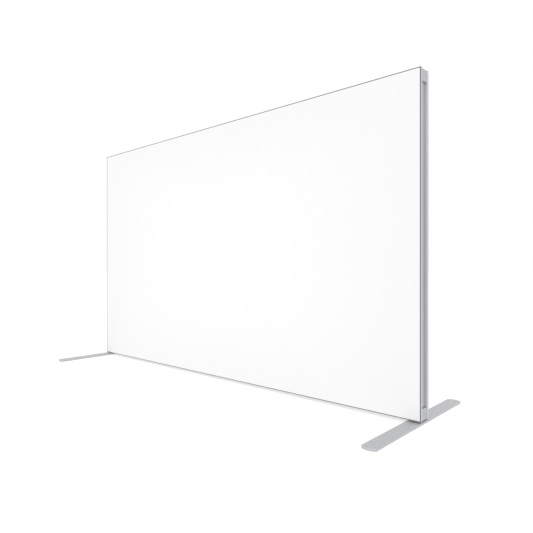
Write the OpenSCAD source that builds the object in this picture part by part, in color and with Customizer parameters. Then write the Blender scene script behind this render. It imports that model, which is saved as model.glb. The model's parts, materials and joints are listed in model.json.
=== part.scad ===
// Free-standing fabric wall: a slim aluminium frame that holds a stretched
// fabric face on each side, lit from inside, on two swivelling plate feet.
// Millimetres. The origin is on the ground under the centre of the wall,
// X runs along the wall, -Y is the front, +Z is up.

/* [Wall] */
// Width of the frame, end to end
wall_w = 4040; // [2000:20:5000]
// Height of the frame, without its feet
wall_h = 2400; // [1600:20:3000]
// Depth of the frame, front edge to rear edge
wall_d = 125; // [120:1:150]

/* [Frame profile] */
// Height of the extruded profile, inner face to outer face
profile_h = 40; // [38:1:50]
// Width of the channel along the outer face
channel_w = 80; // [76:1:82]
// Depth of that channel
channel_d = 15; // [14:0.5:16]
// Thickness of the outer lip beside the fabric groove
lip_t = 2.5; // [2:0.1:3]
// Width of the groove that takes the silicone edge
groove_w = 4.5; // [4:0.1:5]
// Depth of the groove
groove_d = 16; // [14:0.5:16]
// Thickness of the edge profile's tube walls
wall_t = 2.5; // [2:0.1:2.6]
// Thickness of the web strip that forms the channel's floor
web_t = 3; // [2:0.5:3]

/* [Fabric] */
// Thickness of each fabric face, as a plain slab
fabric_t = 1; // [0.5:0.1:1]
// Thickness of the sewn silicone strip
strip_t = 3.8; // [3:0.1:3.8]
// Width of the silicone strip, along the groove's depth
strip_w = 14.4; // [12:0.2:14.4]

/* [Corners] */
// Length of each leg of the outer corner plate
plate_leg = 84; // [82:1:100]
// Thickness of the corner plate
plate_t = 12; // [10:0.5:12]
// Length of each leg of the inner corner key
key_leg = 100; // [90:1:120]
// Thickness of the corner key
key_t = 14; // [12:1:14]

/* [Feet] */
// Width of each plate foot
foot_w = 100; // [90:5:140]
// Length of each plate foot over its curved ends
foot_l = 1360; // [800:10:1600]
// Thickness of the foot plate
foot_t = 16; // [14:1:20]
// How far each curved end bulges
foot_bulge = 17; // [8:1:40]
// Gap between the foot plate and the frame
foot_gap = 6; // [4:1:12]
// Thickness of the rubber pads
pad_t = 2; // [1:0.5:4]

/* [Lighting] */
// Distance between the light bars
led_pitch = 250; // [200:10:400]
// Height of the mains inlet above the frame's bottom edge
inlet_z = 170; // [150:5:200]

/* [Hidden] */
$fn = 48;

e = 1;                                      // how far a cutter passes a face
clear = 0.2;                                // room between pieces slid together
loose = 0.3;                                // radial room round a screw or bolt
running = 0.05;                             // radial room of a running fit
frame_z = pad_t + foot_t + foot_gap;        // bottom edge of the frame
half_w = wall_w / 2;
half_d = wall_d / 2;
inner_w = half_w - profile_h;               // centre to an upright's inner face

// Edge profile, measured outward (v) from its inner face and across the depth (y)
floor_v = profile_h - channel_d;            // outer face of the channel floor
web_low = floor_v - web_t;                  // inner face of the web strip
groove_top = profile_h - lip_t;
groove_bottom = groove_top - groove_w;
ledge_t = 3;                                // inner wall of the groove
fabric_y = half_d - fabric_t;               // where the fabric's back lies
groove_y = half_d - groove_d;
groove_step = 0.5;                          // from the tube's side up to the groove's floor
tube_far = groove_y - groove_step;          // side of the tube that faces the fabric
tube_w = 10;
tube_near = tube_far - tube_w;
tube_mid = tube_far - tube_w / 2;
slot_room = 0.1;                            // room over and under the web in its slots
slot_d = 3.5;
slot_y = channel_w / 2 + slot_d;            // bottom of the slot for the web
web_y = slot_y - clear;
tube_top = web_low - slot_room - wall_t;    // top of the tube's hollow

// Corner parts
plate_v = floor_v + plate_t;                // outer face of the corner plate
plate_y = channel_w / 2 - 1;
key_v = web_low - clear;                    // outer face of the corner key
key_y = tube_near - 0.5;
edge_key_t = tube_w - 2 * wall_t - 2 * clear;   // thickness of the keys inside the tubes
edge_key_v = tube_top - clear;
edge_key_leg = 90;
edge_key_w = 15;
rail_screw_s = [24, 76];                    // places along a rail's leg, from the corner
end_screw_s = [38, 76];                     // along an upright's leg, clear of the rail's tips
screw_y = 28;
screw_r = 3;
screw_head_r = 5.5;
screw_tip_v = 10;
hex_share = 0.75;                           // hexagon socket's radius, as a share of the shank's
hex_depth = 0.7;                            // its depth, as a share of the head's height
cap_head_h = 3.3;

// Splices
splice_l = 240;
splice_t = 10;
edge_splice_w = 10;
splice_y = [8, 33];
splice_x = [40, 95];
splice_mid = (splice_y[0] + splice_y[1]) / 2;

// Centre post
post_x = 30;
post_y = 60;
post_t = 2;
bracket_l = 110;
bracket_w = 90;
bracket_t = 4;
bracket_plug = 40;
post_screw_x = 42;
post_screw_r = 2.5;
post_screw_l = 8;
post_head_h = 2;

// Light bars
tray_w = 90;
tray_t = 2;
tray_start = 60;
tray_end = inner_w - 10;
bar_x = 20;
bar_y = 6;
lens_x = 12;
lens_y = 4;
lens_inset = 30;
led_end = 80;                               // no bar nearer than this to an upright
led_per_side = floor((inner_w - led_end) / led_pitch + 0.5);
led_places = [for (side = [-1, 1], k = [0 : led_per_side - 1]) side * led_pitch * (k + 0.5)];
span_low = frame_z + profile_h;             // inner face of the bottom rail
span_high = frame_z + wall_h - profile_h;   // inner face of the top rail

// Driver, on the inner face of the left upright
driver_depth = 36;
driver_w = 80;
driver_l = 320;
driver_z = 320;
flange_l = 360;
flange_w = 90;
flange_t = 3;
driver_screw_r = 2;
driver_head_h = 2.5;
driver_screw_z = [driver_z - 10, driver_z + driver_l + 10];

// Wires
mains_r = 3.5;
mains_bend = 15;
harness_r = 3;
harness_y = 36;
harness_bend = 20;
harness_lift = bracket_t + loose;           // clear of the post's bracket
harness_tail = 5;
tap_r = 1.5;
wire_v = 18;                                // how far the wires stand off the upright

// Mains inlet, in the channel of the left upright
inlet_w = 27;
inlet_h = 48;
inlet_back = floor_v - 26;
inlet_flange = [30, 60, 4];
inlet_face = floor_v + inlet_flange[2];
socket = [24, 16, 20];
socket_z = -13;
socket_cut = 4;                             // the outline's two slanted corners
pin = [2, 4, 15.5];
pin_places = [[-7, -2], [7, -2], [0, 2]];
inlet_screw_z = 27;
inlet_screw_r = 1.5;
inlet_screw_l = 7;
inlet_head_h = 1.3;

// Rocker
rocker_z = 12;
rocker_v = floor_v - 1;
rocker_w = 13;
rocker_half = 9.2;
rocker_tip = 5.2;                           // its ends, out from the pivot
rocker_dip = 3.4;                           // its middle, out from the pivot
rocker_back = 4;
rocker_edge = 1;
rocker_slot = [14, 20.6, 15];
rocker_tilt = 8;
rocker_pin_r = 1.2;
rocker_pin_l = 16;

// Feet
foot_x = half_w - foot_w / 2;
foot_arc = (foot_w * foot_w / 4 + foot_bulge * foot_bulge) / (2 * foot_bulge);
pivot_r = 6;
pivot_head_r = 10;
pivot_head_h = 7;
pivot_recess = 8;
pivot_recess_r = 11.5;
pivot_hex_r = 5;
pivot_hex_d = 5;
disc_r = 32;
pad_size = [84, 60];
pad_places = [-570, -190, 190, 570];

// ---------- placing helpers ----------

// From a bar standing on the ground plane to the right or left end of the wall
module on_right() translate([inner_w, 0, frame_z]) children();
module on_left() mirror([1, 0, 0]) on_right() children();

// A bar lying along +X from the centre, its outer face down
module along_bottom() translate([0, 0, frame_z + profile_h]) rotate([0, 90, 0]) children();

// From the lower half of the wall to the upper half
module at_top() translate([0, 0, 2 * frame_z + wall_h]) mirror([0, 0, 1]) children();
module at_left() mirror([1, 0, 0]) children();

// ---------- frame profile ----------

// Edge profile: a tube, a slot for the web, the rib, and the groove for the fabric
module edge_section() {
    difference() {
        polygon([
            [0, tube_near], [0, tube_far], [groove_bottom - ledge_t, tube_far],
            [groove_bottom - ledge_t, fabric_y], [groove_bottom, fabric_y],
            [groove_bottom, groove_y], [groove_top, groove_y],
            [groove_top, half_d], [profile_h, half_d],
            [profile_h, channel_w / 2], [floor_v + slot_room, channel_w / 2],
            [floor_v + slot_room, slot_y], [web_low - slot_room, slot_y],
            [web_low - slot_room, tube_near]
        ]);
        translate([wall_t, tube_near + wall_t])
            square([tube_top - wall_t, tube_w - 2 * wall_t]);
    }
}

module web_section() translate([web_low, -web_y]) square([web_t, 2 * web_y]);

// Wedge that leaves a 45 degree end on a bar, at its start
module mitre_cutter() {
    rotate([90, 0, 0])
        linear_extrude(wall_d + 2 * e, center = true)
            polygon([[profile_h + e, -e], [-e, profile_h + e], [-e, -e]]);
}

module at_end(length) translate([0, 0, length]) mirror([0, 0, 1]) children();

// Holes along the slim inner wall of an edge profile's tube
module tube_wall_holes(places, r) {
    for (s = places)
        translate([-e, tube_mid, s]) rotate([0, 90, 0]) cylinder(h = wall_t + 2 * e, r = r);
}

module web_holes(places, y, r) {
    for (s = places, side = [-1, 1])
        translate([web_low - e, side * y, s])
            rotate([0, 90, 0]) cylinder(h = web_t + 2 * e, r = r);
}

module stile() {
    difference() {
        linear_extrude(wall_h) edge_section();
        mitre_cutter();
        at_end(wall_h) mitre_cutter();
    }
}

// A stile of the left end, which also carries the driver
module driver_stile() {
    difference() {
        stile();
        tube_wall_holes(driver_screw_z, driver_screw_r + running);
    }
}

// Half a rail's edge profile, from the centre splice to its mitred end
module rail() {
    difference() {
        linear_extrude(half_w) edge_section();
        at_end(half_w) mitre_cutter();
        tube_wall_holes([post_screw_x], post_screw_r + running);
    }
}

module upright_web() {
    difference() {
        linear_extrude(wall_h) web_section();
        mitre_cutter();
        at_end(wall_h) mitre_cutter();
        web_holes(end_screw_s, screw_y, screw_r + loose);
        at_end(wall_h) web_holes(end_screw_s, screw_y, screw_r + loose);
    }
}

module rail_web() {
    difference() {
        translate([0, 0, clear]) linear_extrude(half_w - clear) web_section();
        at_end(half_w) mitre_cutter();
        at_end(half_w) web_holes(rail_screw_s, screw_y, screw_r + loose);
        web_holes(splice_x, splice_mid, screw_r + loose);
    }
}

// Half a bottom web, with the hole for the foot's pivot bolt
module bottom_web() {
    difference() {
        rail_web();
        web_holes([foot_x], 0, pivot_r + loose);
    }
}

module front() mirror([0, 1, 0]) children();

module right_rear_stile() color("silver") on_right() stile();
module right_front_stile() color("silver") on_right() front() stile();
module left_rear_stile() color("silver") on_left() driver_stile();
module left_front_stile() color("silver") on_left() front() driver_stile();
module bottom_rear_rail_right() color("silver") along_bottom() rail();
module bottom_front_rail_right() color("silver") along_bottom() front() rail();
module bottom_rear_rail_left() color("silver") at_left() along_bottom() rail();
module bottom_front_rail_left() color("silver") at_left() along_bottom() front() rail();
module top_rear_rail_right() color("silver") at_top() along_bottom() rail();
module top_front_rail_right() color("silver") at_top() along_bottom() front() rail();
module top_rear_rail_left() color("silver") at_top() at_left() along_bottom() rail();
module top_front_rail_left() color("silver") at_top() at_left() along_bottom() front() rail();

module right_web() color("darkgray") on_right() upright_web();

module left_web() color("darkgray") on_left() difference() {
    upright_web();
    translate([web_low - e, -inlet_w / 2 - clear, inlet_z - inlet_h / 2 - clear])
        cube([web_t + 2 * e, inlet_w + 2 * clear, inlet_h + 2 * clear]);
    web_holes([inlet_z - inlet_screw_z, inlet_z + inlet_screw_z], 0, inlet_screw_r + running);
}

module bottom_webs() color("darkgray") {
    along_bottom() bottom_web();
    at_left() along_bottom() bottom_web();
}

module top_webs() color("darkgray") at_top() {
    along_bottom() rail_web();
    at_left() along_bottom() rail_web();
}

// ---------- corner plates, keys and their screws ----------

// An L that follows the corner: outer faces at v, both legs the same length
module corner_l(v, t, leg, half_y) {
    rotate([90, 0, 0])
        linear_extrude(2 * half_y, center = true)
            polygon([
                [v, profile_h - v], [v, leg], [v - t, leg],
                [v - t, profile_h - v + t], [profile_h - leg, profile_h - v + t],
                [profile_h - leg, profile_h - v]
            ]);
}

// Outward-pointing places on both legs of a bottom corner
module corner_screw_places() {
    for (s = end_screw_s, y = [-screw_y, screw_y])
        translate([0, y, s]) rotate([0, 90, 0]) children();
    for (s = rail_screw_s, y = [-screw_y, screw_y])
        translate([profile_h - s, y, profile_h]) rotate([0, 180, 0]) children();
}

module countersunk_screw(tip, face, r, head_r) {
    head_h = head_r - r;
    difference() {
        union() {
            translate([0, 0, tip]) cylinder(h = face - tip, r = r);
            translate([0, 0, face - head_h]) cylinder(h = head_h, r1 = r, r2 = head_r);
        }
        translate([0, 0, face - head_h * hex_depth])
            cylinder(h = head_h + e, r = r * hex_share, $fn = 6);
    }
}

module corner_plate(foot_hole) {
    difference() {
        corner_l(plate_v, plate_t - clear, plate_leg, plate_y);
        corner_screw_places() {
            translate([0, 0, floor_v - e]) cylinder(h = plate_t + 2 * e, r = screw_r + loose);
            translate([0, 0, plate_v - screw_head_r + screw_r])
                cylinder(h = screw_head_r - screw_r, r1 = screw_r + loose, r2 = screw_head_r + loose);
        }
        if (foot_hole)
            translate([profile_h - foot_w / 2, 0, profile_h]) rotate([0, 180, 0])
                translate([0, 0, floor_v - e]) cylinder(h = plate_t + 2 * e, r = pivot_r + loose);
    }
}

// The middle key takes the screws; a slim key fills each edge profile's tube
module corner_keys(foot_hole) {
    difference() {
        corner_l(key_v, key_t, key_leg, key_y);
        corner_screw_places()
            translate([0, 0, key_v - key_t - e]) cylinder(h = key_t + 2 * e, r = screw_r + running);
        if (foot_hole)
            translate([profile_h - foot_w / 2, 0, profile_h]) rotate([0, 180, 0])
                translate([0, 0, key_v - key_t - e])
                    cylinder(h = key_t + 2 * e, r = pivot_r + running);
    }
    for (side = [-1, 1])
        translate([0, side * tube_mid, 0])
            corner_l(edge_key_v, edge_key_w, edge_key_leg, edge_key_t / 2);
}

module corner_plate_bottom_right() color("gainsboro") on_right() corner_plate(true);
module corner_plate_bottom_left() color("gainsboro") on_left() corner_plate(true);
module corner_plate_top_right() color("gainsboro") at_top() on_right() corner_plate(false);
module corner_plate_top_left() color("gainsboro") at_top() on_left() corner_plate(false);
module corner_keys_bottom_right() color("slategray") on_right() corner_keys(true);
module corner_keys_bottom_left() color("slategray") on_left() corner_keys(true);
module corner_keys_top_right() color("slategray") at_top() on_right() corner_keys(false);
module corner_keys_top_left() color("slategray") at_top() on_left() corner_keys(false);

module corner_screw_set() {
    corner_screw_places() countersunk_screw(screw_tip_v, plate_v, screw_r, screw_head_r);
}

module corner_screws() color("darkgray") {
    on_right() corner_screw_set();
    on_left() corner_screw_set();
    at_top() on_right() corner_screw_set();
    at_top() on_left() corner_screw_set();
}

// ---------- splices at the centre of both rails ----------

// Two bars under the web, held by screws, and one in each edge profile's tube
module splice_bars() {
    for (side = [0, 1])
        mirror([0, side, 0]) along_bottom() {
            difference() {
                translate([key_v - splice_t, splice_y[0], -splice_l / 2])
                    cube([splice_t, splice_y[1] - splice_y[0], splice_l]);
                for (s = splice_x, end = [-1, 1])
                    translate([key_v - splice_t - e, splice_mid, end * s])
                        rotate([0, 90, 0])
                            cylinder(h = splice_t + 2 * e, r = screw_r + running);
            }
            translate([edge_key_v - edge_splice_w, tube_mid - edge_key_t / 2, -splice_l / 2])
                cube([edge_splice_w, edge_key_t, splice_l]);
        }
}

// A round-headed screw that stands on the channel's floor
module cap_screw(tip, seat, r, head_r, head_h) {
    difference() {
        union() {
            translate([0, 0, tip]) cylinder(h = seat - tip, r = r);
            translate([0, 0, seat]) cylinder(h = head_h, r = head_r);
        }
        translate([0, 0, seat + head_h * (1 - hex_depth)])
            cylinder(h = head_h, r = r * hex_share, $fn = 6);
    }
}

module splice_screw_set() {
    for (s = splice_x, end = [-1, 1], y = [-1, 1])
        along_bottom() translate([0, y * splice_mid, end * s])
            rotate([0, 90, 0])
                cap_screw(key_v - splice_t, floor_v, screw_r, screw_head_r, cap_head_h);
}

module bottom_splice_bars() color("slategray") splice_bars();
module top_splice_bars() color("slategray") at_top() splice_bars();

module splice_screws() color("darkgray") {
    splice_screw_set();
    at_top() splice_screw_set();
}

// ---------- centre post ----------

module centre_post() color("silver")
    translate([0, 0, span_low + bracket_t])
        linear_extrude(span_high - span_low - 2 * bracket_t)
            difference() {
                square([post_x, post_y], center = true);
                square([post_x - 2 * post_t, post_y - 2 * post_t], center = true);
            }

module post_bracket() {
    plug_x = post_x - 2 * post_t - 2 * clear;
    plug_y = post_y - 2 * post_t - 2 * clear;
    difference() {
        union() {
            translate([-bracket_l / 2, -bracket_w / 2, span_low])
                cube([bracket_l, bracket_w, bracket_t]);
            translate([-plug_x / 2, -plug_y / 2, span_low])
                cube([plug_x, plug_y, bracket_plug]);
        }
        for (x = [-post_screw_x, post_screw_x], y = [-tube_mid, tube_mid])
            translate([x, y, span_low]) {
                translate([0, 0, -e]) cylinder(h = bracket_t + 2 * e, r = post_screw_r + loose);
                translate([0, 0, bracket_t - post_head_h])
                    cylinder(
                        h = post_head_h, r1 = post_screw_r + loose,
                        r2 = post_screw_r + post_head_h + loose
                    );
            }
    }
}

module post_screw_set() {
    for (x = [-post_screw_x, post_screw_x], y = [-tube_mid, tube_mid])
        translate([x, y, span_low])
            countersunk_screw(-post_screw_l, bracket_t, post_screw_r, post_screw_r + post_head_h);
}

module post_bracket_bottom() color("gray") post_bracket();
module post_bracket_top() color("gray") at_top() post_bracket();

module post_screws() color("darkgray") {
    post_screw_set();
    at_top() post_screw_set();
}

// ---------- fabric faces and their silicone edges ----------

fabric_edge = profile_h - groove_bottom - loose;    // fabric's edge, in from the frame's
strip_gap = 0.5;                                    // between two strips at a corner

module fabric_face() {
    translate([-half_w + fabric_edge, -half_d, frame_z + fabric_edge])
        cube([wall_w - 2 * fabric_edge, fabric_t, wall_h - 2 * fabric_edge]);
}

// Four strips, their ends butted at the corners with a little room
module silicone_edge() {
    y = -groove_y - strip_w - loose;
    near = fabric_edge - strip_t;
    for (x = [-half_w + near, half_w - near - strip_t])
        translate([x, y, frame_z + near]) cube([strip_t, strip_w, wall_h - 2 * near]);
    for (z = [frame_z + near, frame_z + wall_h - near - strip_t])
        translate([-half_w + near + strip_t + strip_gap, y, z])
            cube([wall_w - 2 * (near + strip_t + strip_gap), strip_w, strip_t]);
}

module front_fabric() color("white") fabric_face();
module rear_fabric() color("white") mirror([0, 1, 0]) fabric_face();
module front_silicone_edge() color("whitesmoke") silicone_edge();
module rear_silicone_edge() color("whitesmoke") mirror([0, 1, 0]) silicone_edge();

// ---------- lighting ----------

// A flat tray that closes the gap between the two edge profiles, on each half
module led_tray() {
    for (side = [0, 1])
        mirror([side, 0, 0])
            translate([tray_start, -tray_w / 2, span_low])
                cube([tray_end - tray_start, tray_w, tray_t]);
}

module led_tray_bottom() color("silver") led_tray();
module led_tray_top() color("silver") at_top() led_tray();

module led_bars() color("white")
    for (x = led_places)
        translate([x - bar_x / 2, -bar_y / 2, span_low + tray_t])
            cube([bar_x, bar_y, span_high - span_low - 2 * tray_t]);

module led_lenses() color("lightyellow")
    for (x = led_places, side = [0, 1])
        mirror([0, side, 0])
            translate([x - lens_x / 2, bar_y / 2, span_low + lens_inset])
                cube([lens_x, lens_y, span_high - span_low - 2 * lens_inset]);

module led_driver() color("white") on_left() difference() {
    union() {
        translate([-driver_depth, -driver_w / 2, driver_z])
            cube([driver_depth - flange_t, driver_w, driver_l]);
        translate([-flange_t, -flange_w / 2, driver_z - (flange_l - driver_l) / 2])
            cube([flange_t, flange_w, flange_l]);
    }
    for (s = driver_screw_z, y = [-tube_mid, tube_mid])
        translate([-flange_t - e, y, s])
            rotate([0, 90, 0]) cylinder(h = flange_t + 2 * e, r = driver_screw_r + loose);
}

module driver_screws() color("darkgray") on_left()
    for (s = driver_screw_z, y = [-tube_mid, tube_mid])
        translate([0, y, s]) rotate([0, -90, 0])
            cap_screw(-post_screw_l, flange_t, driver_screw_r, driver_screw_r * 2, driver_head_h);

// A quarter ring that turns from +Z at the origin to +X
module quarter_bend(bend, r) {
    translate([bend, 0, 0]) rotate([90, 0, 0]) rotate([0, 0, 90])
        rotate_extrude(angle = 90) translate([bend, 0]) circle(r);
}

// From the back of the inlet up to the driver
module mains_wire() color("dimgray") on_left() {
    translate([-wire_v + mains_bend, 0, inlet_z])
        rotate([0, 90, 0]) cylinder(h = wire_v - mains_bend + inlet_back, r = mains_r);
    translate([-wire_v, 0, inlet_z + mains_bend]) mirror([0, 0, 1]) quarter_bend(mains_bend, mains_r);
    translate([-wire_v, 0, inlet_z + mains_bend])
        cylinder(h = driver_z - inlet_z - mains_bend, r = mains_r);
}

harness_z = span_low + harness_r + harness_lift;

// From the driver down to the bottom rail, along it, and a tap to each bar
module led_harness() color("dimgray") {
    drop_x = -inner_w + wire_v;
    run_end = led_places[len(led_places) - 1] + harness_tail;
    translate([drop_x, harness_y, harness_z + harness_bend])
        cylinder(h = frame_z + driver_z - harness_z - harness_bend, r = harness_r);
    translate([drop_x, harness_y, harness_z + harness_bend]) mirror([0, 0, 1])
        quarter_bend(harness_bend, harness_r);
    translate([drop_x + harness_bend, harness_y, harness_z])
        rotate([0, 90, 0]) cylinder(h = run_end - drop_x - harness_bend, r = harness_r);
    for (x = led_places)
        translate([x, bar_y / 2, harness_z])
            rotate([-90, 0, 0]) cylinder(h = harness_y - bar_y / 2, r = tap_r);
}

// ---------- mains inlet and rocker ----------

module socket_outline() {
    x = socket[0] / 2;
    y = socket[1] / 2;
    polygon([
        [-x, -y], [x, -y], [x, y - socket_cut], [x - socket_cut, y],
        [-x + socket_cut, y], [-x, y - socket_cut]
    ]);
}

// Turns a drawing in the plane of the inlet's face to point outward
module on_face(v) translate([v, 0, inlet_z]) rotate([90, 0, 90]) children();

module inlet_housing() color("dimgray") on_left() difference() {
    union() {
        on_face(floor_v) translate([-inlet_flange[0] / 2, -inlet_flange[1] / 2])
            cube(inlet_flange);
        on_face(inlet_back) translate([-inlet_w / 2, -inlet_h / 2])
            cube([inlet_w, inlet_h, floor_v - inlet_back + e]);
    }
    on_face(inlet_face - socket[2]) translate([0, socket_z])
        linear_extrude(socket[2] + e) socket_outline();
    on_face(inlet_face - rocker_slot[2])
        translate([-rocker_slot[0] / 2, rocker_z - rocker_slot[1] / 2])
            cube([rocker_slot[0], rocker_slot[1], rocker_slot[2] + e]);
    translate([rocker_v, 0, inlet_z + rocker_z]) rotate([90, 0, 0])
        cylinder(h = rocker_pin_l + e, r = rocker_pin_r + running, center = true);
    for (s = [-inlet_screw_z, inlet_screw_z])
        translate([floor_v - e, 0, inlet_z + s]) rotate([0, 90, 0]) {
            cylinder(h = inlet_flange[2] + 2 * e, r = inlet_screw_r + clear);
            translate([0, 0, e + inlet_flange[2] - inlet_head_h])
                cylinder(
                    h = inlet_head_h, r1 = inlet_screw_r + clear,
                    r2 = inlet_screw_r + inlet_head_h + clear
                );
        }
}

module inlet_pins() color("gainsboro") on_left()
    on_face(inlet_face - socket[2]) translate([0, socket_z])
        for (place = pin_places)
            translate([place[0] - pin[0] / 2, place[1] - pin[1] / 2, 0]) cube(pin);

module inlet_screws() color("darkgray") on_left()
    for (s = [-inlet_screw_z, inlet_screw_z])
        translate([0, 0, inlet_z + s]) rotate([0, 90, 0])
            countersunk_screw(
                floor_v - inlet_screw_l, inlet_face, inlet_screw_r, inlet_screw_r + inlet_head_h
            );

// The rocker rests tipped one way; pressing its raised end tips it over
module power_rocker() color("black") on_left()
    translate([rocker_v, 0, inlet_z + rocker_z]) rotate([90, 0, 0]) rotate([0, 0, -rocker_tilt]) {
        linear_extrude(rocker_w, center = true)
            polygon([
                [-rocker_back, -rocker_back], [-rocker_edge, -rocker_half],
                [rocker_tip, -rocker_half], [rocker_dip, 0], [rocker_tip, rocker_half],
                [-rocker_edge, rocker_half], [-rocker_back, rocker_back]
            ]);
        cylinder(h = rocker_pin_l, r = rocker_pin_r, center = true);
    }

// ---------- feet ----------

module foot_outline() {
    square([foot_w, foot_l - 2 * foot_bulge], center = true);
    for (end = [-1, 1])
        intersection() {
            translate([0, end * (foot_l / 2 - foot_arc)]) circle(foot_arc, $fn = 96);
            translate([0, end * (foot_l - foot_bulge - e) / 2])
                square([foot_w, foot_bulge + e], center = true);
        }
}

module foot_plate() {
    translate([foot_x, 0, pad_t]) difference() {
        linear_extrude(foot_t) foot_outline();
        translate([0, 0, -e]) cylinder(h = foot_t + 2 * e, r = pivot_r + running);
        translate([0, 0, -e]) cylinder(h = pivot_recess + e, r = pivot_recess_r);
    }
}

module foot_pads() {
    for (y = pad_places)
        translate([foot_x - pad_size[0] / 2, y - pad_size[1] / 2, 0])
            cube([pad_size[0], pad_size[1], pad_t]);
}

module swivel_disc() {
    translate([foot_x, 0, pad_t + foot_t]) difference() {
        cylinder(h = foot_gap + profile_h - plate_v, r = disc_r, $fn = 96);
        translate([0, 0, -e]) cylinder(h = foot_gap + channel_d + e, r = pivot_r + loose);
    }
}

module pivot_bolt() {
    head_z = pad_t + pivot_recess - pivot_head_h;
    tip_z = frame_z + profile_h - key_v + key_t - e;
    translate([foot_x, 0, head_z]) difference() {
        union() {
            cylinder(h = pivot_head_h, r = pivot_head_r);
            cylinder(h = tip_z - head_z, r = pivot_r);
        }
        translate([0, 0, -e]) cylinder(h = pivot_hex_d + e, r = pivot_hex_r, $fn = 6);
    }
}

module right_foot_plate() color("lightgray") foot_plate();
module left_foot_plate() color("lightgray") at_left() foot_plate();
module right_foot_pads() color("black") foot_pads();
module left_foot_pads() color("black") at_left() foot_pads();
module right_swivel_disc() color("dimgray") swivel_disc();
module left_swivel_disc() color("dimgray") at_left() swivel_disc();
module right_pivot_bolt() color("darkgray") pivot_bolt();
module left_pivot_bolt() color("darkgray") at_left() pivot_bolt();

// ---------- one line per piece ----------

left_front_stile();
left_rear_stile();
left_web();
right_front_stile();
right_rear_stile();
right_web();
top_front_rail_left();
top_front_rail_right();
top_rear_rail_left();
top_rear_rail_right();
top_webs();
bottom_front_rail_left();
bottom_front_rail_right();
bottom_rear_rail_left();
bottom_rear_rail_right();
bottom_webs();
corner_plate_top_left();
corner_plate_top_right();
corner_plate_bottom_left();
corner_plate_bottom_right();
corner_keys_top_left();
corner_keys_top_right();
corner_keys_bottom_left();
corner_keys_bottom_right();
corner_screws();
top_splice_bars();
bottom_splice_bars();
splice_screws();
centre_post();
post_bracket_top();
post_bracket_bottom();
post_screws();
front_fabric();
rear_fabric();
front_silicone_edge();
rear_silicone_edge();
led_tray_top();
led_tray_bottom();
led_bars();
led_lenses();
led_driver();
driver_screws();
mains_wire();
led_harness();
inlet_housing();
inlet_pins();
inlet_screws();
power_rocker();
left_foot_plate();
right_foot_plate();
left_foot_pads();
right_foot_pads();
left_swivel_disc();
right_swivel_disc();
left_pivot_bolt();
right_pivot_bolt();
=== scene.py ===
# %% [markdown]
# # A lit fabric wall on two plate feet
# A slim aluminium frame holds a stretched white cloth on each side. Light bars stand
# between the two cloths, so the wall glows a little more in the middle than at its rim.
# The engineering model gives every place and size, in metres: X runs along the wall,
# -Y is the front, Z is up. This lesson loads it and gives each piece its finished surface.

# %% Load the frame
import json
import math

import bmesh
import bpy
from mathutils import Matrix, Vector


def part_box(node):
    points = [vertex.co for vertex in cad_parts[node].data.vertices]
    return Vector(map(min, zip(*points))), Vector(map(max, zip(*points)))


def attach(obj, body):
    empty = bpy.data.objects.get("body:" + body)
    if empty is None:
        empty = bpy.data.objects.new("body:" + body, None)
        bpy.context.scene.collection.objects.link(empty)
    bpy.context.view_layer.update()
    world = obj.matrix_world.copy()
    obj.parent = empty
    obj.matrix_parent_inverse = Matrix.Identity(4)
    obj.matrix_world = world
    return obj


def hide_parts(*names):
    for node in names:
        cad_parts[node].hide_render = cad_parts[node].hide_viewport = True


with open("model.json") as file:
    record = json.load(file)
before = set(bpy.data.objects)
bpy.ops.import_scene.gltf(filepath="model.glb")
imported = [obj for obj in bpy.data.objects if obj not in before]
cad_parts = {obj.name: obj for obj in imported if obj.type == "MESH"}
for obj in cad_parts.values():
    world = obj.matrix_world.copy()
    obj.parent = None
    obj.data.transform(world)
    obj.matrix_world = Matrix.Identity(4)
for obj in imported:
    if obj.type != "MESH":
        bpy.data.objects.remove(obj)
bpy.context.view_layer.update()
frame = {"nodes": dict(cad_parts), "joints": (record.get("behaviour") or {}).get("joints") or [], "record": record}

# %% [markdown]
# ## Camera
# The camera comes first, so that every later step can be looked at. It is level, at
# chest height, and stands beyond the right end of the wall.

# %% Camera
CAMERA_PLACE = (3.4065, -3.1591, 1.0757)
CAMERA_TURN = 41.922
CAMERA_LENS = 32.4495
CAMERA_SENSOR = 36

camera_data = bpy.data.cameras.new("camera")
camera_data.lens = CAMERA_LENS
camera_data.sensor_width = CAMERA_SENSOR
camera = bpy.data.objects.new("camera", camera_data)
camera.location = CAMERA_PLACE
camera.rotation_euler = (math.radians(90), 0, math.radians(CAMERA_TURN))
bpy.context.scene.collection.objects.link(camera)
bpy.context.scene.camera = camera

# %% [markdown]
# ## Studio
# A white cloth wall is easiest to read in even light, so the sky is plain white and a
# wide, soft sun from the front adds a little direction. The Standard view shows white
# as white, where a filmic view would turn it grey.

# %% Floor, sky and lamp
FLOOR_SIZE = 160
FLOOR_TONE = 0.42
FLOOR_GLOW = 0.6
SKY_STRENGTH = 1.0
LAMP_FROM = (0.35, -1.0, 0.75)
LAMP_SPREAD = 40
LAMP_POWER = 1.2

scene = bpy.context.scene
scene.view_settings.view_transform = "Standard"

world = bpy.data.worlds.new("studio")
world.use_nodes = True
sky = world.node_tree.nodes["Background"]
sky.inputs["Color"].default_value = (1, 1, 1, 1)
sky.inputs["Strength"].default_value = SKY_STRENGTH
scene.world = world

lamp_data = bpy.data.lights.new("soft_sun", "SUN")
lamp_data.angle = math.radians(LAMP_SPREAD)
lamp_data.energy = LAMP_POWER
lamp = bpy.data.objects.new("soft_sun", lamp_data)
lamp.rotation_euler = Vector(LAMP_FROM).to_track_quat("Z", "Y").to_euler()
scene.collection.objects.link(lamp)

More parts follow.
